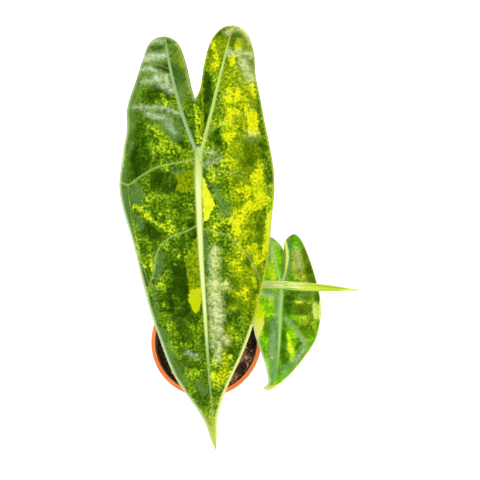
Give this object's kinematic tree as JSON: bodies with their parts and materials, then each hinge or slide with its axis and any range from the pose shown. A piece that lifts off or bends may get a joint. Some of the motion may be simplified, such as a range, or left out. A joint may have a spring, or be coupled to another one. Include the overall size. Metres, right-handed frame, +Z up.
{
  "type": "potted variegated alocasia longiloba",
  "caption": "Potted alocasia with long arrow-shaped leaves marbled in green and yellow, a rolled new leaf, and a round orange nursery pot filled with bark mix.",
  "frame": {"origin": "centre of the pot's base, on the surface it stands on", "axes": "+Z up along the pot's axis; -Y is the way the tip of the large leaf points; the small leaf and the new leaf are on the +X side"},
  "size_m": [0.1537, 0.2656, 0.3187],
  "materials": {
    "pot": "orange moulded plastic, satin",
    "potting_mix": "moist dark bark and peat",
    "rhizome": "dull brown-green stem with leaf scars",
    "small_petiole": "satin green-yellow stalk",
    "large_petiole": "satin pale green stalk",
    "new_leaf": "satin cream-yellow with green lines",
    "large_leaf": "satin green, marbled yellow and lime",
    "small_leaf": "satin dark green, marbled lime and yellow"
  },
  "bodies": {
    "root": {"pot": "pot", "potting_mix": "potting_mix", "rhizome": "rhizome", "small_petiole": "small_petiole", "large_petiole": "large_petiole", "new_leaf": "new_leaf", "large_leaf": "large_leaf", "small_leaf": "small_leaf"}
  },
  "joints": []
}
